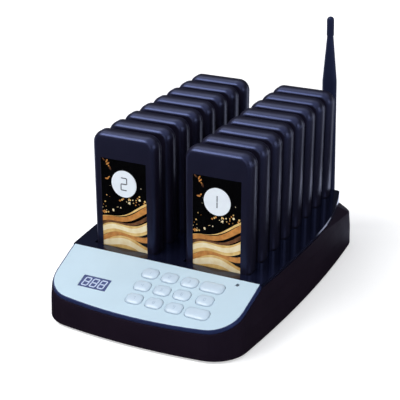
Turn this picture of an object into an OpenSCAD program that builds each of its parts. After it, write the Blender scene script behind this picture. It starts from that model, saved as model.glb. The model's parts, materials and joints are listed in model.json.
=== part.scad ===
// Guest pager system: a charging base with a sloped keypad and sixteen lift-out pagers.
// Millimetres, +Z up. The origin is the middle of the whole box, on the table.

/* [Pagers] */
// Width of one pager
pager_w = 50; // [44:0.5:56]
// Height of one pager
pager_h = 105; // [90:1:125]
// Thickness of one pager
pager_t = 11.5; // [10.5:0.1:13]
// Corner radius of a pager seen from the front
pager_corner_r = 8.5; // [6:0.5:11]
// Radius of a pager's front edge
pager_edge_r = 3.8; // [2.6:0.1:4.2]
// Radius of a pager's rear edge
pager_back_r = 1.5; // [0.8:0.1:1.8]
// Wall of a pager's shells
pager_wall = 1.6; // [1.2:0.1:2]
// Visible thickness of the rear shell
back_shell_t = 2.1; // [1.9:0.1:2.6]
// Width of the groove between the two shells
seam_gap = 0.3; // [0.2:0.05:0.6]
// Pagers in one row
row_count = 8; // [6:1:8]
// Distance from one pager to the next in a row
pager_pitch = 21.5; // [19.5:0.1:22]
// Distance between the centre lines of the two rows
row_gap = 72.2; // [70:0.2:76]
// Depth of a pager in its slot
slot_depth = 19.3; // [14:0.1:20]
// Clearance between a pager and the walls of its slot
slot_gap = 0.4; // [0.3:0.05:0.8]
// Wall of a slot's tub
tub_wall = 1.6; // [1.2:0.1:2.2]

/* [Pager window] */
// Width of the face plate
plate_w = 36.5; // [30:0.5:38]
// Height of the face plate
plate_h = 72; // [50:1:76]
// Distance from the pager's top to the face plate
plate_top = 18.5; // [14:0.5:24]
// Thickness of the face plate
plate_t = 0.5; // [0.4:0.1:0.6]
// Depth of the face plate below the pager's face
plate_recess = 0.4; // [0.2:0.1:0.5]

/* [Base] */
// Distance from the base's front to the panel's rear edge
panel_l = 51.7; // [50:0.1:54]
// Distance from the last pagers to the rear of the base
rear_margin = 11.5; // [11:0.5:16]
// Greatest width of the base, at the table
base_w = 165.8; // [164:0.2:176]
// Height of the deck above the table
deck_z = 40; // [38:0.5:46]
// Radius of the bowed front
front_r = 415; // [300:5:700]
// Radius of the bulged sides
side_r = 1026; // [800:10:1600]
// Radius of the front corners
front_corner_r = 25.6; // [18:0.2:32]
// Radius of the rear corners
rear_corner_r = 19; // [12:0.5:24]
// How far behind the middle the base is widest
widest_y = 34; // [10:1:50]
// How far the walls lean in between the table and the deck
wall_lean = 3.9; // [2.5:0.1:4.5]
// The same, for the rear wall
rear_lean = 2.1; // [1.5:0.1:2.5]
// Wall of the lower housing
wall = 2.5; // [2:0.1:3]
// Floor of the lower housing
floor_t = 2.4; // [2:0.1:3]
// Thickness of the top cover at its edge
cover_t = 2.6; // [2.2:0.1:3]
// Height of the feet below the lower housing
foot_h = 1.7; // [1:0.1:3]
// Diameter of the feet
foot_d = 12; // [9:0.5:15]
// Radius of the deck's rear flanks
flank_r = 265; // [220:5:400]

/* [Keypad panel] */
// Distance from the first pagers' faces to the panel
panel_gap = 8.8; // [7.5:0.1:11]
// Slope of the panel, degrees
slope = 19.8; // [17:0.1:21]
// Width of the bevelled rim round the panel
rim_w = 1.5; // [1.2:0.1:2.4]
// Thickness of the panel plate
panel_t = 1.2; // [1:0.1:1.6]
// Thickness of the cover under the panel
frame_t = 2; // [1.6:0.1:2.4]
// Distance between the keys' columns
key_pitch_x = 15.2; // [14.6:0.1:15.6]
// Distance between the keys' rows
key_pitch_y = 12.35; // [11.8:0.05:12.8]
// Centre of the first column, from the middle
key_x = -4.5; // [-8:0.5:-4]
// Centre of the first row, down from the panel's rear edge
key_y = 12.2; // [11:0.1:14]
// Centre of the column of wide keys
wide_key_x = 43; // [42.5:0.5:46]
// Width of a key
key_w = 12.4; // [10:0.1:12.6]
// Height of a key on the panel
key_h = 9.5; // [8:0.1:9.8]
// Width of a wide key
wide_key_w = 17.6; // [14:0.1:18]
// Corner radius of a key
key_r = 3.8; // [2.5:0.1:4]
// Height of a key above the panel
key_rise = 1.3; // [0.8:0.1:2]
// Travel of a key
key_travel = 1.2; // [0.8:0.1:1.4]
// Clearance round a key
key_gap = 0.25; // [0.2:0.05:0.5]
// Width of the display window
display_w = 22; // [18:0.5:26]
// Height of the display window
display_h = 11; // [9:0.5:13]
// Centre of the display, from the middle
display_x = -39; // [-42:0.5:-34]
// Centre of the display, down from the panel's rear edge
display_y = 31.4; // [26:0.2:34]
// Diameter of the status lamp
led_d = 2.4; // [2:0.1:3.2]
// Centre of the status lamp, from the middle
led_x = 58.4; // [55:0.2:60]
// Centre of the status lamp, down from the panel's rear edge
led_y = 4.9; // [4.5:0.1:8]

/* [Antenna] */
// Distance from the side of the base to the antenna socket
antenna_side = 32.4; // [29:0.1:50]
// Height of the antenna socket
antenna_z = 25; // [22:0.5:28]
// Length of the mast, from the hinge to the tip
mast_l = 153; // [110:1:180]
// Width of the mast's blade
blade_w = 11.7; // [9:0.1:12.5]
// Thickness of the mast's blade
blade_t = 7; // [6:0.1:8]
// Height at which the blade starts to taper
blade_l = 101; // [70:1:103]
// Diameter of the mast's neck
neck_d = 5; // [4:0.1:5.4]
// Diameter of the mast's tip
tip_d = 5.8; // [5.5:0.1:7]
// Length of the mast's tip
tip_l = 15; // [10:0.5:18]
// Lean of the mast, degrees
antenna_lean = 1.85; // [0:0.05:4]
// Diameter of the antenna's hinge pin
hinge_d = 3; // [2.5:0.1:3.5]

/* [Power inlet] */
// Distance from the side of the base to the inlet
jack_side = 34.9; // [28:0.1:50]
// Height of the inlet
jack_z = 11.5; // [9.5:0.5:11.5]
// Diameter of the inlet's bore
jack_bore_d = 6; // [5.6:0.1:6.6]

/* [Hidden] */
$fn = 48;
eps = 0.02;
base_l = panel_l + panel_gap + (row_count - 1) * pager_pitch + pager_t + rear_margin;
half_l = base_l / 2;
half_w = base_w / 2;
antenna_x = half_w - antenna_side;
jack_x = jack_side - half_w;
shell_z = foot_h;                        // underside of the lower housing
floor_z = shell_z + floor_t;             // top of the lower housing's floor
part_z = deck_z - cover_t;               // parting line of the housing, at the deck

// places of the pagers
pager_y0 = -half_l + panel_l + panel_gap; // front face of the first pagers
pager_z = deck_z - slot_depth;           // bottom of the pagers
seat_gap = 0.3;                          // air between a pager and the floor of its slot
seam_y = pager_t - back_shell_t - seam_gap;
PAGERS = [for (i = [0 : row_count - 1], s = [1, -1]) [s * row_gap / 2, pager_y0 + i * pager_pitch]];

// the outline in plan is a list of samples: centre x, centre y, radius, angle and how much
// of the walls' lean reaches the sample
front_c = [0, -half_l + front_r];
side_c = [half_w - side_r, widest_y];
// where two circles cross, on the side of the front right corner
function cross_low(a, ra, b, rb) =
    let (d = norm(b - a), t = (d * d + ra * ra - rb * rb) / (2 * d), e = (b - a) / d)
    a + t * e + sqrt(max(ra * ra - t * t, 0)) * [-e[1], e[0]];
corner_c = cross_low(front_c, front_r - front_corner_r, side_c, side_r - front_corner_r);
rear_y = half_l - rear_corner_r;
rear_c = [side_c[0] + sqrt(pow(side_r - rear_corner_r, 2) - pow(rear_y - widest_y, 2)), rear_y];
function angle_to(a, b) = atan2(b[1] - a[1], b[0] - a[0]);
rear_share = rear_lean / wall_lean;
function arc(c, r, a0, a1, n, share = 1) =
    [for (i = [0 : n]) [c[0], c[1], r, a0 + (a1 - a0) * i / n, 1 + (share - 1) * i / n]];
front_end = angle_to(front_c, corner_c);
side_start = angle_to(side_c, corner_c);
side_end = angle_to(side_c, rear_c);
HALF = concat(
    arc(front_c, front_r, -90, front_end, 5),
    arc(corner_c, front_corner_r, front_end, side_start, 8),
    arc(side_c, side_r, side_start, side_end, 10),
    arc(rear_c, rear_corner_r, side_end, 90, 6, rear_share));
function point(s, inset, lean = 0) =
    let (r = s[2] - inset - lean * s[4]) [s[0] + r * cos(s[3]), s[1] + r * sin(s[3])];
function both_sides(half) =
    concat(half, [for (i = [len(half) - 1 : -1 : 0]) [-half[i][0], half[i][1]]]);
function outline(inset, lean) = both_sides([for (s = HALF) point(s, inset, lean)]);

// the walls lean in ever more towards the deck
function lean_at(z) = wall_lean * pow((z - shell_z) / (deck_z - shell_z), 2);
panel_y = -half_l + panel_l;             // rear edge of the panel, where the slope starts
function slope_z(y) = deck_z + min(y - panel_y, 0) * tan(slope);

// outline of the sloped frame in the plane of the panel
function on_slope(inset) =
    both_sides(concat([for (s = HALF)
        let (p = point(s, 0), q = point(s, inset, lean_at(slope_z(p[1]))))
        if (p[1] < panel_y - 2) [q[0], (q[1] - panel_y) / cos(slope)]],
        [[deck_front_x - inset, 0]]));

// outline of the deck: straight rear edge, flanks that turn in towards the rear
deck_side_r = side_r - wall_lean;
flank_y = widest_y - 4;
flank_a = asin((flank_y - widest_y) / deck_side_r);
flank_c = [side_c[0] + (deck_side_r - flank_r) * cos(flank_a),
           widest_y + (deck_side_r - flank_r) * sin(flank_a)];
deck_rear = half_l - rear_lean;
deck_corner_r = 3;
deck_corner_c = [flank_c[0] + sqrt(pow(flank_r - deck_corner_r, 2)
    - pow(deck_rear - deck_corner_r - flank_c[1], 2)), deck_rear - deck_corner_r];
deck_start = asin((panel_y - widest_y) / deck_side_r);
deck_front_x = side_c[0] + deck_side_r * cos(deck_start);
DECK = concat(
    arc(side_c, deck_side_r, deck_start, flank_a, 6),
    arc(flank_c, flank_r, flank_a, angle_to(flank_c, deck_corner_c), 8),
    arc(deck_corner_c, deck_corner_r, angle_to(flank_c, deck_corner_c), 90, 4));
function deck_outline(inset) = both_sides([for (s = DECK) point(s, inset)]);

// the panel's layers, measured square to its face
cover_under = -panel_t - frame_t;
rim_top = 0.7;                           // flat top of the rim, inside its bevel
bevel_h = 1.6;
display_rim = 1;
flange_t = 0.8;
flange_gap = 0.2;
flange_top = cover_under - flange_gap;
key_foot = flange_top - flange_t - 0.4;
mat_top = key_foot - key_travel - 0.2;   // top of the rubber domes
mat_dome = 0.8;
mat_t = 0.8;
mat_margin = 2;
dome_d = [8, 6];
foot_pad_d = 5;
board_top = mat_top - mat_dome - mat_t;
board_t = 1.6;
board_w = 126;
board_y0 = -2.6;                         // the board's rear and front edges on the slope
board_y1 = -42.5;
post_in_x = 4;
post_in_y = [-8.4, 3.5];
POSTS = [for (s = [-1, 1], y = [board_y0, board_y1] + post_in_y) [s * (board_w / 2 - post_in_x), y]];
post_d = 5;
pin_d = 2;

// places of the keys: name, x, row, width
KEYS = [
    ["1", key_x, 0, key_w], ["2", key_x + key_pitch_x, 0, key_w],
    ["3", key_x + 2 * key_pitch_x, 0, key_w], ["call", wide_key_x, 0, wide_key_w],
    ["4", key_x, 1, key_w], ["5", key_x + key_pitch_x, 1, key_w],
    ["6", key_x + 2 * key_pitch_x, 1, key_w], ["0", wide_key_x, 1, key_w],
    ["7", key_x, 2, key_w], ["8", key_x + key_pitch_x, 2, key_w],
    ["9", key_x + 2 * key_pitch_x, 2, key_w], ["cancel", wide_key_x, 2, wide_key_w]];
function key_at(k) = [KEYS[k][1], -key_y - KEYS[k][2] * key_pitch_y];

// the charging contacts of one pager
contact_x = 8;
contact_y = 6.4;
contact_d = 2.2;
pad_d = 4;
pad_t = 0.5;
charge_board_t = 1.6;
tub_z = pager_z - seat_gap - tub_wall;   // underside of the tubs

// screws through the lower housing's floor
boss_d = 6;
boss_gap = 0.9;
tub_side = row_gap / 2 + pager_w / 2 + slot_gap + tub_wall;
side_boss_x = tub_side + boss_gap + boss_d / 2;
screw_in = [17, 9.7];                    // from the board's corner and from the front
screw_mid_y = 55;
screw_rear_in = 39;
SCREWS = [for (s = [-1, 1]) each [[s * (board_w / 2 - screw_in[0]), -half_l + screw_in[1]],
    [s * side_boss_x, panel_y + screw_mid_y], [s * side_boss_x, half_l - screw_rear_in]]];
screw_d = 2.9;
screw_l = 8;
screw_hole_d = 3.4;
screw_head_d = 5.8;
screw_head_t = 1.3;
foot_side_in = 19.9;
foot_in = [39, 19];                      // from the front and from the rear
FEET = [for (s = [-1, 1], y = [-half_l + foot_in[0], half_l - foot_in[1]])
    [s * (half_w - foot_side_in), y]];
foot_seat = 0.8;
jack_d = 8;

// antenna
rear_wall_y = half_l - lean_at(antenna_z) * rear_share;
flange_y = rear_wall_y + 0.1;
pin_l = 5.5;
flange_d = 11;
shaft_d = 6.2;
hub_d = 10;
hub_y = flange_y + 2.2;
hub_l = 6.3;
hinge_y = hub_y + hub_l + 5;
cheek_t = 2.6;
tongue_t = 4.2;
tongue_r = 4.2;
run_gap = 0.08;
side_gap = 0.3;

// ---- shared forms ----

// moves a piece from the footprint's middle to the middle of the whole box
module in_frame() {
    translate([0, (half_l - hinge_y - tongue_r) / 2, 0]) children();
}

// rectangle with round corners, centred
module round_rect(w, h, r) {
    square([w - 2 * r, h], center = true);
    square([w, h - 2 * r], center = true);
    for (x = [-1, 1], y = [-1, 1])
        translate([x * (w / 2 - r), y * (h / 2 - r)]) circle(r);
}

// cross-section of a slab whose front edges are round: across x, depth y from 0
module slab_section(w, t, re) {
    translate([-w / 2, re]) square([w, t - re]);
    translate([-w / 2 + re, 0]) square([w - 2 * re, re]);
    intersection() {
        for (x = [-1, 1]) translate([x * (w / 2 - re), re]) circle(re);
        translate([-w / 2, 0]) square([w, t]);
    }
}

// upright slab with round corners and a round front edge, from y = 0 to t and z = 0 to h
module soft_slab(w, h, t, rc, re) {
    translate([0, 0, rc]) linear_extrude(h - 2 * rc) slab_section(w, t, re);
    translate([0, 0, h / 2]) rotate([0, -90, 0])
        linear_extrude(w - 2 * rc, center = true) slab_section(h, t, re);
    for (x = [-1, 1], z = [rc, h - rc])
        translate([x * (w / 2 - rc), 0, z]) rotate([-90, 0, 0]) rotate_extrude()
            intersection() {
                slab_section(2 * rc, t, re);
                square([rc, t]);
            }
}

// the same, with a plain edge
module plain_slab(w, h, t, r) {
    translate([0, t, h / 2]) rotate([90, 0, 0]) linear_extrude(t) round_rect(w, h, r);
}

// stands its children on the sloped panel: x across, y up the slope, z square to the face
module on_panel() {
    translate([0, panel_y, deck_z]) rotate([slope, 0, 0]) children();
}

// ---- base ----

// the drafted body of the base, with its walls moved in
module base_body(inset, z0, z1) {
    hull() for (i = [0 : 3]) {
        z = z0 + (z1 - eps - z0) * [0, 0.42, 0.74, 1][i];
        translate([0, 0, z]) linear_extrude(eps) polygon(outline(inset, lean_at(z)));
    }
}

// all that lies below the sloped frame, moved down by a distance
module under_slope(drop) {
    on_panel() translate([-base_w, -base_l, -drop - base_l])
        cube([2 * base_w, 2 * base_l, base_l]);
}

// all above a tilted plane through a point, with its rise per mm of x and of y
module above(p, rise_x, rise_y) {
    translate(p) rotate([asin(rise_y / norm([1, rise_x, rise_y])), atan(-rise_x), 0])
        translate([-base_w / 2, -base_l / 2, 0]) cube([base_w, base_l, deck_z]);
}

// what the shoulders beside and behind the deck's rear corners take off the base
module shoulder_cut(drop) {
    for (s = [0, 1]) mirror([s, 0, 0]) {
        above([half_w - 11.3, half_l - 21, deck_z - 5.7 - drop], -0.66, -0.15);
        above([half_w - 13, half_l - 12.5, deck_z - 8.3 - drop], -0.464, -0.393);
    }
}

module lower_housing() {
    // where the underside of the sloped frame meets that of the deck
    step_y = panel_y + cover_t * (1 / cos(slope) - 1) / tan(slope);
    mouth_d = 10;
    in_frame() color("#1d171b") difference() {
        intersection() {
            base_body(0, shell_z, part_z);
            union() {
                under_slope(cover_t);
                translate([-base_w, step_y, 0]) cube([2 * base_w, 2 * base_l, deck_z]);
            }
        }
        // hollow, below the shoulder's roof
        difference() {
            intersection() {
                base_body(wall, floor_z, part_z - wall);
                union() {
                    under_slope(cover_t - 1);
                    translate([-base_w, panel_y, 0]) cube([2 * base_w, 2 * base_l, deck_z]);
                }
            }
            shoulder_cut(wall + 1);
        }
        // mouth under the deck and under the sloped frame
        translate([0, 0, part_z - mouth_d]) linear_extrude(mouth_d + 1) {
            polygon(deck_outline(wall));
            translate([-deck_front_x + wall + 1, panel_y - 6])
                square([2 * (deck_front_x - wall - 1), 12]);
        }
        on_panel() translate([0, 0, -cover_t - wall - 3]) linear_extrude(wall + 4)
            polygon(on_slope(wall));
        shoulder_cut(0);
        for (p = SCREWS) translate([p[0], p[1], shell_z - eps]) {
            cylinder(d = screw_hole_d, h = floor_t + 1);
            cylinder(d = screw_head_d + 0.6, h = screw_head_t + 0.1);
        }
        for (p = FEET) translate([p[0], p[1], shell_z - eps])
            cylinder(d = foot_d + 0.2, h = foot_seat + eps);
        // flat seat and hole for the antenna's socket, and the hole for the inlet
        translate([antenna_x, flange_y - 0.05, antenna_z]) rotate([-90, 0, 0]) {
            cylinder(d = flange_d + 1, h = wall + 5);
            translate([0, 0, -wall - 5]) cylinder(d = shaft_d + 0.4, h = wall + 6);
        }
        translate([jack_x, half_l - wall - 5, jack_z]) rotate([-90, 0, 0])
            cylinder(d = jack_d + 0.4, h = wall + 10);
    }
}

// plan of the slots, grown by a margin
module slots_plan(margin) {
    w = pager_w + 2 * slot_gap + 2 * margin;
    t = pager_t + 2 * slot_gap + 2 * margin;
    for (p = PAGERS) translate([p[0] - w / 2, p[1] - slot_gap - margin]) square([w, t]);
}

module contacts_plan(d) {
    for (p = PAGERS, x = [-1, 1])
        translate([p[0] + x * contact_x, p[1] + contact_y]) circle(d = d);
}

module keys_plan(gap) {
    for (k = [0 : len(KEYS) - 1])
        translate(key_at(k)) round_rect(KEYS[k][3] + 2 * gap, key_h + 2 * gap, key_r + gap);
}

// deck with a tub under each slot
module slotted_deck() {
    translate([0, 0, part_z]) linear_extrude(cover_t) difference() {
        polygon(deck_outline(0));
        slots_plan(0);
    }
    translate([0, 0, tub_z + tub_wall]) linear_extrude(part_z - tub_z - tub_wall)
        difference() {
            slots_plan(tub_wall);
            slots_plan(0);
        }
    translate([0, 0, tub_z]) linear_extrude(tub_wall) difference() {
        slots_plan(tub_wall);
        contacts_plan(contact_d + 0.4);
    }
}

// skirt that closes the space between the deck and the shoulders
module skirt() {
    intersection() {
        translate([0, 0, deck_z / 2]) linear_extrude(part_z - deck_z / 2 + eps) difference() {
            polygon(deck_outline(0));
            polygon(deck_outline(wall));
        }
        shoulder_cut(0);
    }
}

// sloped frame with its bevelled rim and the openings behind the panel
module sloped_frame() {
    difference() {
        hull() {
            translate([0, 0, -eps]) linear_extrude(eps) polygon(on_slope(rim_w - rim_top));
            translate([0, 0, -cover_t]) linear_extrude(cover_t - bevel_h) polygon(on_slope(0));
        }
        translate([0, 0, -cover_t - 1]) linear_extrude(cover_t + 2)
            polygon(on_slope(rim_w - 0.1));
    }
    // ledge that the panel lies on, and the plate behind the keys
    translate([0, 0, -cover_t]) linear_extrude(cover_t - panel_t) difference() {
        polygon(on_slope(rim_w - 0.2));
        polygon(on_slope(wall + 0.5));
    }
    translate([0, 0, cover_under]) linear_extrude(frame_t) difference() {
        polygon(on_slope(wall + 0.3));
        keys_plan(key_gap);
        translate([display_x, -display_y]) square([display_w, display_h]
            + [1, 1] * 2 * (display_rim + 0.3), center = true);
        translate([led_x, -led_y]) circle(d = led_d + 0.8);
    }
}

module top_cover() {
    in_frame() color("#141626") difference() {
        union() {
            slotted_deck();
            skirt();
            on_panel() sloped_frame();
            for (p = SCREWS) translate([p[0], p[1], floor_z])
                cylinder(d = boss_d, h = slope_z(p[1]) - cover_t - floor_z);
            on_panel() for (p = POSTS) translate([p[0], p[1], board_top]) {
                cylinder(d = post_d, h = cover_under - board_top + 0.5);
                translate([0, 0, -board_t - 0.8]) cylinder(d = pin_d, h = board_t + 1);
            }
        }
        for (p = SCREWS) translate([p[0], p[1], floor_z - 1])
            cylinder(d = screw_d + 0.1, h = screw_l + 1);
        // room for the panel, also under the deck's front edge
        on_panel() translate([0, 0, -panel_t]) linear_extrude(panel_t + 1)
            polygon(on_slope(rim_w - 0.1));
    }
}

module control_panel() {
    in_frame() color("#cfe2f0") on_panel() translate([0, -0.1, -panel_t]) linear_extrude(panel_t)
        difference() {
            polygon(on_slope(rim_w));
            translate([0, 0.1]) keys_plan(key_gap);
            translate([display_x, 0.1 - display_y]) square([display_w, display_h], center = true);
            translate([led_x, 0.1 - led_y]) circle(d = led_d + 0.2);
        }
}

module display_lens() {
    in_frame() color("#2d3a63") on_panel() translate([display_x, -display_y, -panel_t + 0.1])
        linear_extrude(panel_t - 0.3) square([display_w - 0.2, display_h - 0.2], center = true);
}

module display_module() {
    in_frame() color("#22252e") on_panel() translate([display_x, -display_y, board_top])
        linear_extrude(-panel_t - 0.1 - board_top)
            square([display_w, display_h] + [1, 1] * 2 * display_rim, center = true);
}

// soft mat with a dome under each key
module keypad_mat() {
    x0 = key_x - key_w / 2 - mat_margin;
    x1 = wide_key_x + wide_key_w / 2 + mat_margin;
    y1 = -key_y - 2 * key_pitch_y - key_h / 2 - mat_margin / 4;
    in_frame() color("#d9dcd8") on_panel() translate([0, 0, board_top]) {
        translate([x0, y1, 0]) cube([x1 - x0, -y1 - key_y + key_h / 2 + mat_margin, mat_t]);
        for (k = [0 : len(KEYS) - 1]) translate(concat(key_at(k), [mat_t - eps]))
            cylinder(d1 = dome_d[0], d2 = dome_d[1], h = mat_dome + eps);
    }
}

module main_board() {
    in_frame() color("#2f5b3c") on_panel() translate([0, 0, board_top - board_t]) difference() {
        translate([-board_w / 2, board_y1, 0])
            cube([board_w, board_y0 - board_y1, board_t]);
        for (p = POSTS) translate([p[0], p[1], -1]) cylinder(d = pin_d + 0.3, h = board_t + 2);
    }
}

// one strip under each row of slots
module charging_boards() {
    l = (row_count - 1) * pager_pitch + pager_t + 6;
    in_frame() color("#2f5b3c") for (s = [-1, 1]) difference() {
        translate([s * row_gap / 2 - 14, pager_y0 - 3, tub_z - charge_board_t])
            cube([28, l, charge_board_t]);
        for (p = PAGERS, x = [-1, 1]) if (p[0] * s > 0)
            translate([p[0] + x * contact_x, p[1] + contact_y, tub_z - charge_board_t - 1])
                cylinder(d = contact_d + 0.1, h = charge_board_t + 2);
    }
}

module charging_pins() {
    top = pager_z - 0.1;
    in_frame() color("#c9a64a") for (p = PAGERS, x = [-1, 1])
        translate([p[0] + x * contact_x, p[1] + contact_y, tub_z - charge_board_t - 0.6]) {
            cylinder(d = contact_d, h = top - contact_d / 2 - tub_z + charge_board_t + 0.6);
            translate([0, 0, top - contact_d / 2 - tub_z + charge_board_t + 0.6])
                sphere(d = contact_d);
        }
}

module status_lamp() {
    in_frame() color("#39424f") on_panel() translate([led_x, -led_y, board_top]) {
        cylinder(d = led_d, h = -board_top - led_d / 2);
        translate([0, 0, -board_top - led_d / 2]) sphere(d = led_d);
    }
}

// barrel inlet on its cradle, with a centre pin
module power_inlet() {
    y1 = half_l - lean_at(jack_z) * rear_share - 0.2;
    jack_w = 10;
    jack_l = 11;
    in_frame() color("#191919") difference() {
        union() {
            translate([jack_x, y1, jack_z]) rotate([90, 0, 0]) cylinder(d = jack_d, h = wall + 2);
            translate([jack_x - jack_w / 2, y1 - wall - 2 - jack_l, floor_z])
                cube([jack_w, jack_l, jack_z - floor_z + jack_w / 2]);
        }
        translate([jack_x, y1 + 1, jack_z]) rotate([90, 0, 0]) cylinder(d = jack_bore_d, h = 11);
    }
    in_frame() color("#c8c8c8") translate([jack_x, y1 - 1.5, jack_z]) rotate([90, 0, 0])
        cylinder(d = 2, h = 10);
}

// ---- antenna ----

module at_hinge() {
    translate([antenna_x, hinge_y, antenna_z]) rotate([0, -antenna_lean, 0]) children();
}

module antenna_socket() {
    in_frame() color("#b08d3c") translate([antenna_x, 0, antenna_z]) rotate([-90, 0, 0]) {
        translate([0, 0, flange_y]) cylinder(d = flange_d, h = 1.8, $fn = 6);
        translate([0, 0, flange_y - wall - 5]) cylinder(d = shaft_d, h = wall + 5 + eps);
        translate([0, 0, flange_y - wall - 3.2]) cylinder(d = flange_d - 0.5, h = 2, $fn = 6);
        translate([0, 0, flange_y + 1.8 - eps]) cylinder(d = 5, h = pin_l);
    }
}

module antenna_knuckle() {
    fork_w = tongue_t + 2 * cheek_t + 2 * side_gap;
    in_frame() color("#17181c") difference() {
        union() {
            translate([antenna_x, hub_y, antenna_z]) rotate([-90, 0, 0])
                cylinder(d = hub_d, h = hub_l);
            at_hinge() rotate([0, 90, 0]) cylinder(r = tongue_r, h = fork_w, center = true);
            at_hinge() translate([-fork_w / 2, -(hinge_y - hub_y - hub_l) - 1, -tongue_r])
                cube([fork_w, hinge_y - hub_y - hub_l + 1, 2 * tongue_r]);
        }
        translate([antenna_x, hub_y - 1, antenna_z]) rotate([-90, 0, 0])
            cylinder(d = 5 + 2 * run_gap, h = pin_l + 0.9);
        // the fork's mouth, all but the hinge pin
        at_hinge() difference() {
            translate([-tongue_t / 2 - side_gap, -tongue_r - side_gap, -10])
                cube([tongue_t + 2 * side_gap, 20, 20]);
            rotate([0, 90, 0]) cylinder(d = hinge_d, h = fork_w, center = true);
        }
    }
}

// section of the mast's blade: a flat bar with round edges
module blade(h, w, t) {
    linear_extrude(h) {
        square([w - t, t], center = true);
        for (x = [-1, 1]) translate([x * (w - t) / 2, 0]) circle(d = t);
    }
}

module antenna_mast() {
    shoulder_z = tongue_r + 2.6;
    in_frame() color("#20294a") at_hinge() {
        difference() {
            union() {
                rotate([0, 90, 0]) cylinder(r = tongue_r, h = tongue_t, center = true);
                translate([-tongue_t / 2, -tongue_r + 1, 0])
                    cube([tongue_t, 2 * tongue_r - 2, shoulder_z + 1]);
            }
            rotate([0, 90, 0]) cylinder(d = hinge_d + 2 * run_gap, h = 10, center = true);
        }
        translate([0, 0, shoulder_z]) blade(blade_l - shoulder_z, blade_w, blade_t);
        hull() {
            translate([0, 0, blade_l - eps]) blade(eps, blade_w, blade_t);
            translate([0, 0, mast_l - tip_l]) cylinder(d = neck_d, h = eps);
        }
        translate([0, 0, mast_l - tip_l]) cylinder(d = tip_d, h = tip_l - tip_d / 2);
        translate([0, 0, mast_l - tip_d / 2]) sphere(d = tip_d);
    }
}

module rubber_feet() {
    in_frame() color("#2b2b2b") for (p = FEET) translate([p[0], p[1], 0])
        cylinder(d = foot_d, h = foot_h + foot_seat);
}

module screws() {
    in_frame() color("#9a9a9e") for (p = SCREWS) translate([p[0], p[1], shell_z]) {
        cylinder(d = screw_head_d, h = screw_head_t);
        cylinder(d = screw_d, h = screw_l);
    }
}

// ---- keys ----

module key(k) {
    w = KEYS[k][3];
    cap_h = key_rise - flange_top;
    in_frame() color("#e9f1f5") on_panel() translate(concat(key_at(k), [0])) {
        translate([0, key_h / 2, key_rise]) rotate([-90, 0, 0]) mirror([0, 0, 1])
            soft_slab(w, key_h, cap_h, key_r, 1.2);
        translate([0, 0, flange_top - flange_t]) linear_extrude(flange_t)
            round_rect(w + 1.6, key_h + 1.6, key_r + 0.8);
        translate([0, 0, key_foot]) cylinder(d = foot_pad_d, h = 1);
    }
}

// ---- pagers ----

cavity_w = pager_w - 2 * pager_wall;
cavity_h = pager_h - 2 * pager_wall;
cavity_r = pager_corner_r - pager_wall;
lip_t = 1.4;
lip_l = 1.8;
// the small board, the battery and the shaker motor
small_w = cavity_w - 6.8;
small_h = pager_h - 21;
small_t = 1;
small_z = 10;
battery = [30, 3.6, 42];
motor_d = 4.4;

module pager_front(k) {
    in_frame() color("#131427") translate([PAGERS[k][0], PAGERS[k][1], pager_z]) difference() {
        soft_slab(pager_w, pager_h, seam_y, pager_corner_r, pager_edge_r);
        translate([0, pager_wall, pager_wall]) plain_slab(cavity_w, cavity_h, seam_y, cavity_r);
        translate([-plate_w / 2, -1, pager_h - plate_top - plate_h])
            cube([plate_w, plate_recess + plate_t + 1, plate_h]);
        for (x = [-1, 1]) translate([x * contact_x, contact_y, -1])
            cylinder(d = pad_d + 0.1, h = pad_t + 1);
    }
    in_frame() color("#3a2a14") translate([PAGERS[k][0], PAGERS[k][1], pager_z])
        translate([-plate_w / 2 + 0.1, plate_recess + 0.05, pager_h - plate_top - plate_h + 0.1])
            cube([plate_w - 0.2, plate_t - 0.1, plate_h - 0.2]);
    in_frame() color("#c9a64a") translate([PAGERS[k][0], PAGERS[k][1], pager_z]) for (x = [-1, 1])
        translate([x * contact_x, contact_y, 0]) cylinder(d = pad_d, h = pad_t - 0.05);
}

module pager_back(k) {
    board_y = 4.6;
    in_frame() color("#191a2c") translate([PAGERS[k][0], PAGERS[k][1], pager_z]) {
        difference() {
            union() {
                translate([0, pager_t, 0]) mirror([0, 1, 0])
                    soft_slab(pager_w, pager_h, back_shell_t, pager_corner_r, pager_back_r);
                translate([0, seam_y - lip_l, pager_wall + 0.2])
                    plain_slab(cavity_w - 0.4, cavity_h - 0.4, lip_l + seam_gap + 0.2,
                        cavity_r - 0.2);
            }
            translate([0, seam_y - lip_l - 1, pager_wall + lip_t])
                plain_slab(cavity_w - 2 * lip_t + 0.4, cavity_h - 2 * lip_t + 0.4,
                    lip_l + seam_gap + 1 + back_shell_t - 1.1, cavity_r - lip_t);
        }
        // posts that carry the board
        for (s = [-1, 1], z = [small_z + 4, small_z + small_h - 4])
            translate([s * (small_w / 2 - 2.5), board_y + small_t + 0.05, z]) rotate([-90, 0, 0])
                cylinder(d = 3, h = pager_t - 1 - board_y - small_t - 0.05);
    }
    in_frame() translate([PAGERS[k][0], PAGERS[k][1], pager_z]) {
        color("#2f5b3c") translate([-small_w / 2, board_y, small_z])
            cube([small_w, small_t, small_h]);
        color("#8f9aa6") translate([-battery[0] / 2, board_y + small_t + 0.05, small_z + 6])
            cube(battery);
        color("#a9a9ad") translate([small_w / 4, board_y + small_t + motor_d / 2 + 0.1,
            small_z + battery[2] + 18]) cylinder(d = motor_d, h = 12);
    }
}

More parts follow.
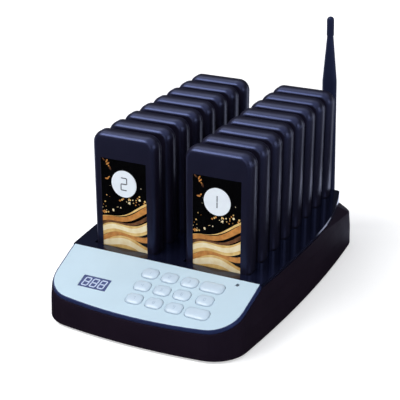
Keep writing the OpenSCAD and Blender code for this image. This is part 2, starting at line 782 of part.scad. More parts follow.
lower_housing();
top_cover();
control_panel();
display_lens();
display_module();
keypad_mat();
main_board();
charging_boards();
charging_pins();
status_lamp();
power_inlet();
antenna_socket();
antenna_knuckle();
antenna_mast();
rubber_feet();
screws();
key(0);  // key_1
key(1);  // key_2
key(2);  // key_3
key(3);  // key_call
key(4);  // key_4
key(5);  // key_5
key(6);  // key_6
key(7);  // key_0
key(8);  // key_7
key(9);  // key_8
key(10);  // key_9
key(11);  // key_cancel
pager_front(0);  // pager_01_front
pager_front(1);  // pager_02_front
pager_front(2);  // pager_03_front
pager_front(3);  // pager_04_front
pager_front(4);  // pager_05_front
pager_front(5);  // pager_06_front
pager_front(6);  // pager_07_front
pager_front(7);  // pager_08_front
pager_front(8);  // pager_09_front
pager_front(9);  // pager_10_front
pager_front(10);  // pager_11_front
pager_front(11);  // pager_12_front
pager_front(12);  // pager_13_front
pager_front(13);  // pager_14_front
pager_front(14);  // pager_15_front
pager_front(15);  // pager_16_front
pager_back(0);  // pager_01_back
pager_back(1);  // pager_02_back
pager_back(2);  // pager_03_back
pager_back(3);  // pager_04_back
pager_back(4);  // pager_05_back
pager_back(5);  // pager_06_back
pager_back(6);  // pager_07_back
pager_back(7);  // pager_08_back
pager_back(8);  // pager_09_back
pager_back(9);  // pager_10_back
pager_back(10);  // pager_11_back
pager_back(11);  // pager_12_back
pager_back(12);  // pager_13_back
pager_back(13);  // pager_14_back
pager_back(14);  // pager_15_back
pager_back(15);  // pager_16_back
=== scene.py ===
import bpy
import json
import math
import random
from mathutils import Matrix, Vector


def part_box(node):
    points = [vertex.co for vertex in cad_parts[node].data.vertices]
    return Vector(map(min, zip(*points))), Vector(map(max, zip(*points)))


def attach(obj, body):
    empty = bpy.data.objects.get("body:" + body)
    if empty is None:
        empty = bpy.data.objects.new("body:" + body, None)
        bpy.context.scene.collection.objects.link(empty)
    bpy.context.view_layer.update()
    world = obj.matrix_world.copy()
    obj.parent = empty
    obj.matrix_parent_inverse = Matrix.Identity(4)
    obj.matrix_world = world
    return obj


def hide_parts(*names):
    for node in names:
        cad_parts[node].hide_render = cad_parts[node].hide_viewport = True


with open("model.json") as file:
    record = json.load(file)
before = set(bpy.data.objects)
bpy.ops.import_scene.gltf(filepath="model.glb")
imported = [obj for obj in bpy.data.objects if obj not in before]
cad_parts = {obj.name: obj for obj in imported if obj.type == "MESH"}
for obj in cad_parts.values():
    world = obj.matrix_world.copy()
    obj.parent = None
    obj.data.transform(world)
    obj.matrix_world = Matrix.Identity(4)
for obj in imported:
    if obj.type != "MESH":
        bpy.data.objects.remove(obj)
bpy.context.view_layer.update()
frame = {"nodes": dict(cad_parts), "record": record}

# Looks of a guest pager system: a charging base with a sloped keypad and an antenna, and
# sixteen lift-out pagers. Sizes of pieces are in millimetres unless MM stands beside them.
MM = 0.001
NODES = frame["nodes"]
COLLECTION = bpy.context.scene.collection

# ---------------------------------------------------------------- shader nodes


def new_node(tree, kind, inputs=None, **settings):
    """A new node with its settings, and with a value or a link at each input named."""
    made = tree.nodes.new("ShaderNode" + kind)
    for key, value in settings.items():
        setattr(made, key, value)
    for key, value in (inputs or {}).items():
        if isinstance(value, bpy.types.NodeSocket):
            tree.links.new(value, made.inputs[key])
        else:
            made.inputs[key].default_value = value
    return made


def smooth_step(tree, source, lo, hi, out_lo, out_hi):
    """Smooth step of a value between two limits."""
    step = new_node(tree, "MapRange", {"Value": source, "From Min": lo, "From Max": hi,
                                       "To Min": out_lo, "To Max": out_hi},
                    interpolation_type="SMOOTHSTEP")
    return step.outputs["Result"]


def maths(tree, operation, first, second):
    return new_node(tree, "Math", {0: first, 1: second}, operation=operation).outputs[0]


def mix_shader(tree, share, first, second):
    return new_node(tree, "MixShader", {0: share, 1: first, 2: second}).outputs[0]


# ---------------------------------------------------------------- materials


def rgb(code):
    """Linear colour of a hex code."""
    out = []
    for i in (1, 3, 5):
        v = int(code[i:i + 2], 16) / 255
        out.append(v / 12.92 if v <= 0.04045 else ((v + 0.055) / 1.055) ** 2.4)
    return tuple(out)


def shade(colour, factor):
    return tuple(min(1.0, c * factor) for c in colour)


BLOTCH_FROM, BLOTCH_TO = 0.3, 0.7    # of the noise, from the darkest to the palest colour
BLOTCH_DETAIL, SMEAR_DETAIL, GRAIN_DETAIL = 4, 6, 3
SMEAR_RATIO = 2.3                    # how much finer the roughness varies than the colour
SMOOTHEST = 0.02
GRAIN_DEPTH = 0.2 * MM


def finish(name, code, rough, mottle=0.08, mottle_scale=90.0, rough_spread=0.05,
           grain=0.02, grain_scale=2600.0, metallic=0.0, specular=0.5, coat=0.0,
           coat_rough=0.05, tint=None, second=None):
    """Material whose colour, roughness and surface all vary a little from place to place."""
    material = bpy.data.materials.new(name)
    material.use_nodes = True
    tree = material.node_tree
    shader = tree.nodes["Principled BSDF"]
    shader.inputs["Metallic"].default_value = metallic
    shader.inputs["Specular IOR Level"].default_value = specular
    shader.inputs["Coat Weight"].default_value = coat
    shader.inputs["Coat Roughness"].default_value = coat_rough
    if tint:
        shader.inputs["Specular Tint"].default_value = (*tint, 1)
    place = new_node(tree, "TexCoord").outputs["Object"]
    colour = rgb(code)
    blotch = new_node(tree, "TexNoise", {"Vector": place, "Scale": mottle_scale,
                                         "Detail": BLOTCH_DETAIL})
    ramp = new_node(tree, "ValToRGB", {"Fac": blotch.outputs["Fac"]})
    low, high = ramp.color_ramp.elements
    low.position, high.position = BLOTCH_FROM, BLOTCH_TO
    low.color = (*shade(colour, 1 - mottle), 1)
    high.color = (*(rgb(second) if second else shade(colour, 1 + mottle)), 1)
    tree.links.new(ramp.outputs["Color"], shader.inputs["Base Color"])
    smear = new_node(tree, "TexNoise", {"Vector": place, "Scale": mottle_scale * SMEAR_RATIO,
                                        "Detail": SMEAR_DETAIL})
    spread = new_node(tree, "MapRange", {"Value": smear.outputs["Fac"],
                                         "To Min": max(SMOOTHEST, rough - rough_spread),
                                         "To Max": rough + rough_spread})
    tree.links.new(spread.outputs["Result"], shader.inputs["Roughness"])
    if grain:
        fine = new_node(tree, "TexNoise", {"Vector": place, "Scale": grain_scale,
                                           "Detail": GRAIN_DETAIL})
        bump = new_node(tree, "Bump", {"Strength": grain, "Distance": GRAIN_DEPTH,
                                       "Height": fine.outputs["Fac"]})
        tree.links.new(bump.outputs["Normal"], shader.inputs["Normal"])
    return material


BLUE_SHEEN = (0.38, 0.48, 1.0)
# colour, roughness, and what else differs from the plain finish
FINISHES = {
    "satin_black": ("#1d141e", 0.6, dict(mottle=0.1, mottle_scale=40, grain=0.08,
                                         grain_scale=3200, specular=0.08, tint=BLUE_SHEEN)),
    "gloss_black": ("#0f1122", 0.1, dict(mottle=0.15, mottle_scale=60, rough_spread=0.03,
                                         grain=0.01, grain_scale=2400, specular=0.8,
                                         tint=BLUE_SHEEN)),
    "panel_blue": ("#bfd5e2", 0.5, dict(mottle=0.02, mottle_scale=60, grain=0.03,
                                        grain_scale=3000, specular=0.3)),
    "display_window": ("#3b4878", 0.25, dict(mottle_scale=220, rough_spread=0.04, grain=0,
                                             specular=0.3)),
    "inner_black": ("#202126", 0.6, {}),
    "key_rubber": ("#aab4c4", 0.7, {}),
    "key_white": ("#bfd1e0", 0.3, dict(mottle=0.03, mottle_scale=300, rough_spread=0.04,
                                       grain_scale=2200, coat=0.15, coat_rough=0.2)),
    "circuit_board": ("#1f5a33", 0.45, dict(mottle=0.15, mottle_scale=700)),
    "contact_gold": ("#d9b35a", 0.25, dict(mottle_scale=500, metallic=1.0)),
    "lamp": ("#3c4858", 0.2, dict(mottle=0.1, mottle_scale=600, coat=0.3)),
    "antenna_black": ("#1c2036", 0.4, dict(mottle=0.15, mottle_scale=80, rough_spread=0.06,
                                           grain=0.04, specular=0.35, tint=BLUE_SHEEN)),
    "foot_rubber": ("#262626", 0.8, dict(mottle=0.1, mottle_scale=200, grain=0.2)),
    "screw_steel": ("#9d9da1", 0.35, dict(mottle_scale=400, metallic=1.0)),
    "pager_gloss": ("#17131f", 0.36, dict(mottle=0.12, mottle_scale=45, rough_spread=0.04,
                                          grain=0.03, grain_scale=3000, specular=0.9,
                                          tint=BLUE_SHEEN)),
    "pager_back": ("#171422", 0.3, dict(mottle=0.12, mottle_scale=45, rough_spread=0.04,
                                        grain=0.03, grain_scale=3000, specular=0.9,
                                        tint=BLUE_SHEEN)),
    # painted highlight: a lighter grey-blue for the pagers' seam bevels and window walls, where
    # their edges catch light
    "painted_edge_highlight": ("#454556", 0.55, dict(mottle=0.1, mottle_scale=300, grain=0,
                                         specular=0.2, tint=BLUE_SHEEN)),
    "print_black": ("#040405", 0.2, dict(mottle=0.3, mottle_scale=120, rough_spread=0.03,
                                         grain=0, specular=0.2)),
    "print_gold": ("#dda955", 0.35, dict(mottle=0.14, mottle_scale=160, grain=0,
                                         second="#f7d58a")),
    "print_cream": ("#f7dfa6", 0.35, dict(mottle=0.06, mottle_scale=170, grain=0,
                                          second="#fff2cf")),
    "print_brown": ("#4a2a14", 0.35, dict(mottle=0.3, mottle_scale=260, grain=0,
                                          second="#8a5528")),
    "print_amber": ("#b56d28", 0.35, dict(mottle=0.2, mottle_scale=200, grain=0,
                                          second="#e09a4a")),
    "label_white": ("#eef5fb", 0.4, dict(mottle=0.02, mottle_scale=200)),
    "label_ink": ("#141b34", 0.5, dict(mottle=0.1, mottle_scale=400, grain=0,
                                       specular=0.15)),
    "segment_pale": ("#b9c8e4", 0.3, dict(mottle=0.05, mottle_scale=500, rough_spread=0.04,
                                          grain=0)),
    "key_ink": ("#8aa0b6", 0.4, dict(mottle=0.06, mottle_scale=500, grain=0)),
}
MATERIALS = {name: finish(name, code, rough, **more)
             for name, (code, rough, more) in FINISHES.items()}

for part in frame["record"]["subparts"]:
    NODES[part["node"]].data.materials.clear()
    NODES[part["node"]].data.materials.append(MATERIALS[part["material_slot"]])

# ---------------------------------------------------------------- the panel's plane

SLOPE = math.radians(19.8)
PANEL_T = 1.2 * MM
PANEL_GAP = 0.1 * MM       # between the panel's rear edge and the deck
PANEL_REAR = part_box("control_panel")[1][1]
PANEL_Y = PANEL_REAR + PANEL_GAP * math.cos(SLOPE) - PANEL_T * math.sin(SLOPE)
DECK_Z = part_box("top_cover")[1][2]
ON_PANEL = Matrix.Translation((0, PANEL_Y, DECK_Z)) @ Matrix.Rotation(SLOPE, 4, "X")

# painted sheen on the rim round the keypad: its blue, its share of the cover's colour, and how
# far it fades in toward the panel's rear edge
RIM_SHEEN_BLUE, RIM_SHEEN_SHARE, RIM_SHEEN_FADE = "#2a3358", 0.85, 2 * MM


def panel_place(x, y):
    """Place on the panel, x across and y up the slope from its rear edge."""
    return ON_PANEL @ Matrix.Translation((x * MM, y * MM, 0))


def blue_rim():
    """Painted sheen: the cover is bluer on the rim round the keypad than on the deck behind it,
    a blue mixed into its colour in place of the highlight its bevel catches.
    """
    tree = MATERIALS["gloss_black"].node_tree
    colour = tree.nodes["Principled BSDF"].inputs["Base Color"]
    plain = colour.links[0].from_socket
    split = new_node(tree, "SeparateXYZ", {0: new_node(tree, "TexCoord").outputs["Object"]})
    share = new_node(tree, "MapRange", {"Value": split.outputs["Y"],
                                        "From Min": PANEL_Y - RIM_SHEEN_FADE, "From Max": PANEL_Y,
                                        "To Min": RIM_SHEEN_SHARE, "To Max": 0.0})
    blend = new_node(tree, "MixRGB", {"Fac": share.outputs["Result"], "Color1": plain,
                                      "Color2": (*rgb(RIM_SHEEN_BLUE), 1)})
    tree.links.new(blend.outputs["Color"], colour)


blue_rim()

# ---------------------------------------------------------------- meshes


def mesh_piece(name, verts, faces, slots, body, slot, face_slots=None, smooth=False,
               matrix=None):
    """A mesh in millimetres, placed by a matrix in metres, riding on a body."""
    me = bpy.data.meshes.new(name)
    me.from_pydata([tuple(c * MM for c in v) for v in verts], [], faces)
    me.validate()
    for s in slots:
        me.materials.append(MATERIALS[s])
    for i, p in enumerate(me.polygons):
        p.use_smooth = smooth
        if face_slots:
            p.material_index = face_slots[i]
    o = bpy.data.objects.new(name, me)
    COLLECTION.objects.link(o)
    if matrix is not None:
        o.matrix_world = matrix
    bpy.context.view_layer.update()
    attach(o, body)
    return o


def round_rect(w, h, r, n):
    """Outline of a rectangle with round corners of n steps, counter-clockwise."""
    out = []
    for q, (sx, sy) in enumerate(((1, 1), (-1, 1), (-1, -1), (1, -1))):
        for i in range(n + 1):
            a = math.radians(90 * q + 90 * i / n)
            out.append((sx * (w / 2 - r) + r * math.cos(a), sy * (h / 2 - r) + r * math.sin(a)))
    return out


def disc(x, y, r, n):
    """Outline of a disc of n steps, counter-clockwise."""
    return [(x + r * math.cos(a), y + r * math.sin(a))
            for a in (2 * math.pi * i / n for i in range(n))]


def plates(outlines, base, top):
    """Verts and faces of flat plates between two heights; a clockwise outline faces up."""
    verts, faces = [], []
    for ring in outlines:
        k, n = len(verts), len(ring)
        verts += [(x, y, top) for x, y in ring] + [(x, y, base) for x, y in ring]
        faces.append(tuple(range(k + n - 1, k - 1, -1)))
        for i in range(n):
            j = (i + 1) % n
            faces.append((k + i, k + j, k + n + j, k + n + i))
    return verts, faces


# ---------------------------------------------------------------- strokes for digits

SEGMENTS = {"a": ((0, 1), (1, 1)), "b": ((1, 1), (1, 0.5)), "c": ((1, 0.5), (1, 0)),
            "d": ((0, 0), (1, 0)), "e": ((0, 0), (0, 0.5)), "f": ((0, 0.5), (0, 1)),
            "g": ((0, 0.5), (1, 0.5))}
DIGITS = {"0": "abcdef", "1": "bc", "2": "abged", "3": "abgcd", "4": "fgbc", "5": "afgcd",
          "6": "afgecd", "7": "abc", "8": "abcdefg", "9": "abcdfg"}


def digit_bars(text, height, width, stroke, pitch=0.0, gap=0.0, slant=0.0):
    """Outlines of the bars of a row of seven-segment digits, centred on 0, 0."""
    bars = []
    for n, ch in enumerate(text):
        cx = (n - (len(text) - 1) / 2) * pitch
        for s in DIGITS[ch]:
            (x0, y0), (x1, y1) = SEGMENTS[s]
            p = Vector((cx + (x0 - 0.5) * width, (y0 - 0.5) * height))
            q = Vector((cx + (x1 - 0.5) * width, (y1 - 0.5) * height))
            d = (q - p).normalized()
            side = Vector((-d.y, d.x)) * stroke / 2
            p, q = p + d * gap, q - d * gap
            tip = d * stroke / 2
            ring = [p - tip, p + side, q + side, q + tip, q - side, p - side]
            bars.append([(v.x + slant * v.y, v.y) for v in ring])
    return bars


# ---------------------------------------------------------------- keys and display

KEY_W, KEY_H, KEY_R, WIDE_W = 12.4, 9.5, 3.8, 17.6
KEY_STEPS = 7
COLUMNS = (-4.5, 10.7, 25.9, 43.0)
ROWS = (-12.2, -24.55, -36.9)
LAYOUT = (("1", "2", "3", "call"), ("4", "5", "6", "0"), ("7", "8", "9", "cancel"))
WIDE = ("call", "cancel")
# a key from its skirt to its crown: (share of the half-height taken in, height over the panel)
PILLOW = ((0.0, -3.4), (0.0, 0.1), (0.03, 0.4), (0.09, 0.65), (0.18, 0.86), (0.32, 1.04),
          (0.5, 1.17), (0.72, 1.25), (0.9, 1.27))
KEY_DIGIT = dict(height=2.3, width=1.3, stroke=0.22)
KEY_PRINT = dict(base=1.1, top=1.28)
DISPLAY_AT = (-39, -31.4)
DISPLAY_DIGIT = dict(height=7.2, width=4.2, stroke=0.95, pitch=6.3, gap=0.35, slant=0.1)
DISPLAY_PRINT = dict(base=-0.3, top=-0.12)


def pillow(width):
    """Verts and faces of a key with a low crown."""
    verts, faces = [], []
    count = 4 * (KEY_STEPS + 1)
    for inset, z in PILLOW:
        high = KEY_H * (1 - inset)
        corner = min(KEY_R, high / 2 - 0.01)
        verts += [(x, y, z) for x, y in round_rect(width - KEY_H * inset, high, corner,
                                                   KEY_STEPS)]
    for r in range(len(PILLOW) - 1):
        for i in range(count):
            j = (i + 1) % count
            faces.append((r * count + i, r * count + j, (r + 1) * count + j,
                          (r + 1) * count + i))
    faces.append(tuple((len(PILLOW) - 1) * count + i for i in range(count)))
    return verts, faces


for y, labels in zip(ROWS, LAYOUT):
    for x, label in zip(COLUMNS, labels):
        body = "key_%s_cap" % label
        cap = mesh_piece("key_%s_pillow" % label, *pillow(WIDE_W if label in WIDE else KEY_W),
                         ["key_white"], body, "key_white", smooth=True,
                         matrix=panel_place(x, y))
        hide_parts("key_" + label)
        if label in DIGITS:
            mesh_piece("key_%s_digit" % label,
                       *plates(digit_bars(label, **KEY_DIGIT), **KEY_PRINT),
                       ["key_ink"], body, "key_white", matrix=panel_place(x, y))

mesh_piece("display_digits", *plates(digit_bars("888", **DISPLAY_DIGIT), **DISPLAY_PRINT),
           ["segment_pale"], "base", "display_window", matrix=panel_place(*DISPLAY_AT))

# ---------------------------------------------------------------- the pagers' printed faces

PLATE_W, PLATE_H = 36.3, 71.8
PLATE_Z = 14.6            # from the pager's foot to the plate's
PLATE_DEEP = 0.44         # of the print below the pager's face
HALF_W = PLATE_W / 2
EDGE = 0.1                # blank edge that dots and leaves keep to
# rolling bands: slot, lower level, upper level, tilt, swell, phase
BANDS = (("print_brown", -4.0, 7.0, 0.10, 1.6, 0.2),
         ("print_gold", 2.0, 12.0, -0.12, 2.2, 1.1),
         ("print_cream", 5.2, 9.8, -0.10, 2.2, 1.3),
         ("print_amber", 12.0, 16.0, 0.16, 2.6, 2.2),
         ("print_gold", 16.0, 24.0, 0.26, 2.6, 3.0),
         ("print_cream", 18.4, 22.2, 0.24, 2.4, 3.2),
         ("print_brown", 24.0, 26.2, 0.30, 2.4, 3.6),
         ("print_amber", 27.4, 31.6, 0.36, 2.2, 4.2),
         ("print_gold", 32.0, 33.0, 0.40, 2.0, 4.5))
BAND_STEPS = 30
WAVE_PITCH = 6.5
# how the upper line of a band differs from its lower line
MORE_TILT, MORE_SWELL, MORE_PHASE = 0.03, 1.1, 0.25
DOT_TRIES, DOT_STEPS, DOT_SIZES, DOT_LEAST = 60, 14, (0.25, 0.95), 0.15
DOT_LOW, DOT_LEAN, DOT_RISE = 36, 0.4, 22
DOT_SHRINK = 1.1          # a dot at the top of the rise has this less 1 of its size
LEAF_TRIES, LEAF_STEPS, LEAF_SIZES, LEAF_SLIM = 70, 8, (0.9, 1.9), 0.42
LEAF_LOW, LEAF_TOP, LEAF_LEAN = 46, 60, 0.75
LEAF_NONE, LEAF_ALL = 44, 70   # levels at which no leaf and every leaf is kept
ART_SEED = 11
LAYER_STEP = 0.012        # each band lies over the last
FACE_STEP, FACE_CYCLE = 0.0005, 12   # and neighbours in a layer lie a hair apart


def band(low, high):
    """Outline between two curves across the plate."""
    def clip(v):
        return min(max(v, 0.0), PLATE_H)

    us = [-HALF_W + PLATE_W * i / BAND_STEPS for i in range(BAND_STEPS + 1)]
    return [(u, clip(low(u))) for u in us] + [(u, clip(high(u))) for u in reversed(us)]


def wave(level, tilt, swell, phase):
    """Height of a rolling line over the plate's foot, by the distance from its middle."""
    return lambda u: level + tilt * u + swell * math.sin(u / WAVE_PITCH + phase)


def dot_outline(u, v, r):
    """Round dot that stays on the plate, or None where it would be too small."""
    r = min(r, HALF_W - abs(u) - EDGE, PLATE_H - v - EDGE, v - EDGE)
    return disc(u, v, r, DOT_STEPS) if r > DOT_LEAST else None


def leaf_outline(u, v, size, turn):
    """Small pointed leaf, or None where it would leave the plate."""
    out = []
    for i in range(LEAF_STEPS):
        a = 2 * math.pi * i / LEAF_STEPS
        x = size * math.cos(a)
        y = LEAF_SLIM * size * math.sin(a) * (1 if i % (LEAF_STEPS // 2) else 0)
        out.append((u + x * math.cos(turn) - y * math.sin(turn),
                    v + x * math.sin(turn) + y * math.cos(turn)))
    inside = all(abs(x) < HALF_W - EDGE and 0 < y < PLATE_H - EDGE for x, y in out)
    return out if inside else None


def artwork():
    """Flat shapes of the printed face: (slot, layer, outline), from the back to the front."""
    shapes = [("print_black", 0, [(-HALF_W, 0), (HALF_W, 0), (HALF_W, PLATE_H),
                                  (-HALF_W, PLATE_H)])]
    for layer, (slot, low, high, tilt, swell, phase) in enumerate(BANDS, 1):
        shapes.append((slot, layer, band(wave(low, tilt, swell, phase),
                                         wave(high, tilt + MORE_TILT, swell * MORE_SWELL,
                                              phase + MORE_PHASE))))
    top = len(BANDS) + 1
    draw = random.Random(ART_SEED)
    for _ in range(DOT_TRIES):
        u = draw.uniform(-HALF_W, HALF_W)
        rise = draw.random() ** 2
        v = DOT_LOW + DOT_LEAN * u + rise * DOT_RISE
        dot = dot_outline(u, v, draw.uniform(*DOT_SIZES) * (DOT_SHRINK - rise))
        if dot:
            shapes.append((draw.choice(("print_amber", "print_gold", "print_cream")), top, dot))
    for _ in range(LEAF_TRIES):
        u = draw.uniform(-HALF_W, HALF_W)
        v = draw.uniform(LEAF_LOW, PLATE_H)
        if v < LEAF_TOP - LEAF_LEAN * u:
            leaf = leaf_outline(u, v, draw.uniform(*LEAF_SIZES), draw.uniform(0, math.pi))
            if leaf and draw.random() < (v - LEAF_NONE) / (LEAF_ALL - LEAF_NONE):
                slot = draw.choice(("print_brown", "print_brown", "print_amber"))
                shapes.append((slot, top, leaf))
    return shapes


def art_mesh(shapes, order):
    """Verts, faces and face slots of the print, facing forward."""
    verts, faces, slots = [], [], []
    for slot, layer, ring in shapes:
        twice_area = sum(p[0] * q[1] - q[0] * p[1] for p, q in zip(ring, ring[1:] + ring[:1]))
        if twice_area < 0:
            ring = ring[::-1]
        first = len(verts)
        y = -LAYER_STEP * layer - FACE_STEP * (len(faces) % FACE_CYCLE)
        verts += [(u, y, v) for u, v in ring]
        faces.append(tuple(range(first, first + len(ring))))
        slots.append(order.index(slot))
    return verts, faces, slots


ART = artwork()
ART_ORDER = sorted({slot for slot, layer, ring in ART})
ART_VERTS, ART_FACES, ART_SLOTS = art_mesh(ART, ART_ORDER)

# ---------------------------------------------------------------- the pagers

PAGERS = 16
SHELL_W, SHELL_H, CORNER_R, CORNER_STEPS = 50.0, 105.0, 8.5, 9
EDGE_DEEP, EDGE_IN, EDGE_STEPS = 6.0, 3.5, 12
SEAM_BEVEL = 0.3
WINDOW_SINK = 0.02        # of the window's floor behind the print
# the two charging contacts under a pager
CONTACT_X, CONTACT_Y, CONTACT_D, CONTACT_STEPS = 8.0, 6.4, 4.0, 32
CONTACT_SPAN = dict(base=0.2, top=-0.03)
# the numbered disc, from the plate's foot
DISC_U, DISC_V, DISC_D, DISC_STEPS = 0.3, 54.4, 20.0, 64
DISC_SPAN = dict(base=0.0, top=0.3)
NUMBER = dict(height=9.1, width=4.6, stroke=0.72, pitch=6.6, gap=0.3)
NUMBER_SPAN = dict(base=0.2, top=0.33)
# the shell's slots: its gloss, and a painted highlight for the seam's bevel and the window's
# walls
SHELL_SLOTS = ["pager_gloss", "painted_edge_highlight"]
GLOSS, PAINTED_HIGHLIGHT = range(len(SHELL_SLOTS))


def front_shell(depth):
    """Soft-edged shell with a sunken window: verts, faces, and each face's slot and shading; the
    seam's bevel and the window's walls take a painted highlight.
    """
    rings = []
    for i in range(EDGE_STEPS + 1):
        a = math.radians(90 * i / EDGE_STEPS)
        rings.append((EDGE_DEEP * (1 - math.cos(a)), EDGE_IN * (1 - math.sin(a))))
    rings += [(depth - SEAM_BEVEL, 0.0), (depth, SEAM_BEVEL)]
    count = 4 * (CORNER_STEPS + 1)
    verts, faces, slots = [], [], []
    for y, inset in rings:
        ring = round_rect(SHELL_W - 2 * inset, SHELL_H - 2 * inset, CORNER_R - inset,
                          CORNER_STEPS)
        verts += [(x, y, SHELL_H / 2 + z) for x, z in ring]
    last = len(rings) - 1
    for r in range(last):
        for i in range(count):
            j = (i + 1) % count
            faces.append((r * count + j, r * count + i, (r + 1) * count + i,
                          (r + 1) * count + j))
            # the seam's bevel ring gets the painted highlight, a lighter colour where the edge
            # catches light
            slots.append(PAINTED_HIGHLIGHT if r == last - 1 else GLOSS)
    soft = [True] * (len(faces) - count) + [False] * count
    faces.append(tuple(last * count + i for i in reversed(range(count))))
    slots.append(GLOSS)
    # the front, from its rim to the window, the window's walls, coloured with the painted edge
    # highlight, and its floor
    window = [(HALF_W, PLATE_Z + PLATE_H), (-HALF_W, PLATE_Z + PLATE_H), (-HALF_W, PLATE_Z),
              (HALF_W, PLATE_Z)]
    first = len(verts)
    verts += [(x, y, z) for y in (0.0, PLATE_DEEP + WINDOW_SINK) for x, z in window]
    per = count // 4
    for q in range(4):
        for i in range(per - 1):
            faces.append((q * per + i, q * per + i + 1, first + q))
        nxt = (q + 1) % 4
        faces.append((q * per + per - 1, nxt * per, first + nxt, first + q))
        faces.append((first + q, first + nxt, first + 4 + nxt, first + 4 + q))
        # the window's wall gets the painted highlight
        slots += [GLOSS] * per + [PAINTED_HIGHLIGHT]
    faces.append(tuple(first + 4 + q for q in range(4)))
    slots.append(GLOSS)
    return verts, faces, slots, soft + [False] * (len(faces) - len(soft))


for n in range(1, PAGERS + 1):
    body = "pager_%02d" % n
    lo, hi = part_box(body + "_front")
    foot = Matrix.Translation(((lo[0] + hi[0]) / 2, lo[1], lo[2]))
    plate = Matrix.Translation(((lo[0] + hi[0]) / 2, lo[1] + PLATE_DEEP * MM,
                                lo[2] + PLATE_Z * MM))
    v, f, spots, soft = front_shell((hi[1] - lo[1]) / MM)
    shell = mesh_piece(body + "_shell", v, f, SHELL_SLOTS, body, "pager_gloss",
                       face_slots=spots, matrix=foot)
    for polygon, flag in zip(shell.data.polygons, soft):
        polygon.use_smooth = flag
    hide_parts(body + "_front")
    mesh_piece(body + "_print", ART_VERTS, ART_FACES, ART_ORDER, body, "pager_gloss",
               face_slots=ART_SLOTS, matrix=plate)
    face = (plate @ Matrix.Translation((DISC_U * MM, 0, DISC_V * MM))
            @ Matrix.Rotation(math.radians(90), 4, "X"))
    outline = disc(0, 0, DISC_D / 2, DISC_STEPS)[::-1]
    mesh_piece(body + "_disc", *plates([outline], **DISC_SPAN), ["label_white"], body,
               "key_white", matrix=face)
    v, f = plates(digit_bars(str(n), **NUMBER), **NUMBER_SPAN)
    middle = (max(p[0] for p in v) + min(p[0] for p in v)) / 2
    mesh_piece(body + "_number", v, f, ["label_ink"], body, "inner_black",
               matrix=face @ Matrix.Translation((-middle * MM, 0, 0)))
    pads = [disc(side * CONTACT_X, CONTACT_Y, CONTACT_D / 2, CONTACT_STEPS)
            for side in (-1, 1)]
    mesh_piece(body + "_contacts", *plates(pads, **CONTACT_SPAN), ["contact_gold"], body,
               "contact_gold", matrix=foot)

# ---------------------------------------------------------------- floor and backdrop

FLOOR_HALF = 6
FLOOR_GREY, FLOOR_ROUGH, FLOOR_SHEEN = 0.82, 0.8, 0.1
# ramps over the floor, in metres from its middle: from, to, strength before, strength after
SHOWN_GLOW = (0.5, 1.0, 0.45, 1.0)       # by the distance; only the camera sees it
LEFTWARD, LEFT_GLOW = (-0.8, 0.6, 0), (0.02, 0.16, 0.02, 0.7)
PATCH_FROM_BASE = (0.095, 0.115, 0, 1.3)   # by y
PATCH_TO_REAR = (0.24, 0.27, 1, 0)         # by y
PATCH_TO_RIGHT = (0.116, 0.127, 1, 0)      # by x
FAR_FLOOR = (0.5, 0.8, 0, 0.8)           # by the distance
MIRRORED_FLOOR_TINT = (0.75, 0.8, 1)
ROOM_TINT, ROOM_LIGHT = (0.8, 0.82, 0.88), 0.45
# the same kind of ramp over the room, by the height of a direction
CEILING = (0.45, 0.8, 0.05, 0.9)
MIRRORED_ROOM_TINT = (0.8, 0.85, 1.0)


def floor_material():
    """Pale floor that keeps the shadow; polished faces see it darker near the product."""
    material = bpy.data.materials.new("floor")
    material.use_nodes = True
    tree = material.node_tree
    plain = tree.nodes["Principled BSDF"]
    plain.inputs["Base Color"].default_value = (FLOOR_GREY, FLOOR_GREY, FLOOR_GREY, 1)
    plain.inputs["Roughness"].default_value = FLOOR_ROUGH
    plain.inputs["Specular IOR Level"].default_value = FLOOR_SHEEN
    place = new_node(tree, "TexCoord").outputs["Object"]
    reach = new_node(tree, "VectorMath", {0: place}, operation="LENGTH").outputs["Value"]
    glow = new_node(tree, "Emission", {
        "Color": (1, 1, 1, 1),
        "Strength": smooth_step(tree, reach, *SHOWN_GLOW)})
    bright = new_node(tree, "AddShader", {0: plain.outputs[0], 1: glow.outputs[0]})
    ray = new_node(tree, "LightPath").outputs
    shown = mix_shader(tree, ray["Is Camera Ray"], plain.outputs[0], bright.outputs[0])
    # polished faces see the floor pale to the rear left, close behind the base as far as
    # its right side, and further off on all sides
    leftward = new_node(tree, "VectorMath", {0: place, 1: LEFTWARD},
                        operation="DOT_PRODUCT").outputs["Value"]
    axes = new_node(tree, "SeparateXYZ", {0: place}).outputs
    left_glow = smooth_step(tree, leftward, *LEFT_GLOW)
    behind = smooth_step(tree, axes["Y"], *PATCH_FROM_BASE)
    beside = smooth_step(tree, axes["X"], *PATCH_TO_RIGHT)
    not_far = smooth_step(tree, axes["Y"], *PATCH_TO_REAR)
    patch = maths(tree, "MULTIPLY", maths(tree, "MULTIPLY", behind, beside), not_far)
    far_floor = smooth_step(tree, reach, *FAR_FLOOR)
    strength = maths(tree, "MAXIMUM", maths(tree, "MAXIMUM", left_glow, patch), far_floor)
    mirrored = new_node(tree, "Emission", {"Color": (*MIRRORED_FLOOR_TINT, 1),
                                           "Strength": strength})
    seen_as = mix_shader(tree, ray["Is Glossy Ray"], shown, mirrored.outputs[0])
    tree.links.new(seen_as, tree.nodes["Material Output"].inputs["Surface"])
    return material


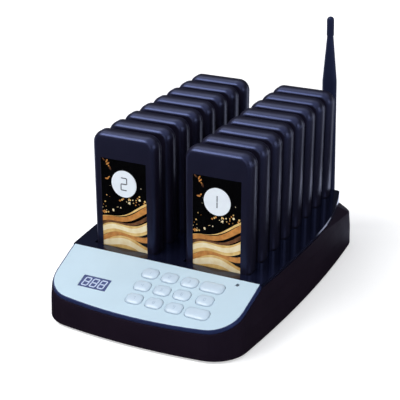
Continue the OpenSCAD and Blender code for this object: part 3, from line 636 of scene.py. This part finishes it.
def dress_world():
    """White to the camera, an even room to the object, dim walls and a pale ceiling in gloss."""
    world = bpy.context.scene.world or bpy.data.worlds.new("World")
    bpy.context.scene.world = world
    world.use_nodes = True
    tree = world.node_tree
    room = tree.nodes["Background"]
    room.inputs["Color"].default_value = (*ROOM_TINT, 1)
    room.inputs["Strength"].default_value = ROOM_LIGHT
    white = new_node(tree, "Background", {"Color": (1, 1, 1, 1)})
    ray = new_node(tree, "LightPath").outputs
    shown = mix_shader(tree, ray["Is Camera Ray"], room.outputs[0], white.outputs[0])
    toward = new_node(tree, "TexCoord").outputs["Generated"]
    height = new_node(tree, "SeparateXYZ", {0: toward}).outputs["Z"]
    mirrored = new_node(tree, "Background", {
        "Color": (*MIRRORED_ROOM_TINT, 1),
        "Strength": smooth_step(tree, height, *CEILING)})
    seen_as = mix_shader(tree, ray["Is Glossy Ray"], shown, mirrored.outputs[0])
    tree.links.new(seen_as, tree.nodes["World Output"].inputs["Surface"])


floor_me = bpy.data.meshes.new("floor")
floor_me.from_pydata([(x * FLOOR_HALF, y * FLOOR_HALF, 0)
                      for x, y in ((-1, -1), (1, -1), (1, 1), (-1, 1))], [], [(0, 1, 2, 3)])
floor = bpy.data.objects.new("floor", floor_me)
COLLECTION.objects.link(floor)
floor_me.materials.append(floor_material())
dress_world()

# ---------------------------------------------------------------- lamps and camera

# name, place, height aimed at, width and height of the soft box, watts
LAMPS = (("overhead_left", (-0.62, -0.56, 1.3), 0.08, (1.0, 0.7), 16),
         ("overhead_rear", (-0.6, 0.62, 1.25), 0.08, (0.8, 0.5), 1.3),
         ("front", (0.6, -1.5, 0.8), 0.05, (1.0, 0.7), 3.6),
         ("right", (1.4, 0.1, 0.5), 0.05, (0.8, 0.6), 4))
CAMERA_AT = (0.3217, -0.6704, 0.3737)
CAMERA_DOWN, CAMERA_TURN = 22.883, 26.209
CAMERA_LENS, SENSOR = 97.25, 36


def soft_box(name, place, aim, size, power):
    lamp = bpy.data.lights.new(name, "AREA")
    lamp.shape = "RECTANGLE"
    lamp.size, lamp.size_y = size
    lamp.energy = power
    o = bpy.data.objects.new(name, lamp)
    o.location = place
    away = Vector((0, 0, aim)) - Vector(place)
    o.rotation_euler = away.to_track_quat("-Z", "Y").to_euler()
    COLLECTION.objects.link(o)


for lamp_row in LAMPS:
    soft_box(*lamp_row)

cam_data = bpy.data.cameras.new("camera")
cam_data.lens = CAMERA_LENS
cam_data.sensor_width = SENSOR
cam = bpy.data.objects.new("camera", cam_data)
cam.location = CAMERA_AT
cam.rotation_euler = (math.radians(90 - CAMERA_DOWN), 0, math.radians(CAMERA_TURN))
COLLECTION.objects.link(cam)
bpy.context.scene.camera = cam
bpy.context.scene.view_settings.view_transform = "Standard"
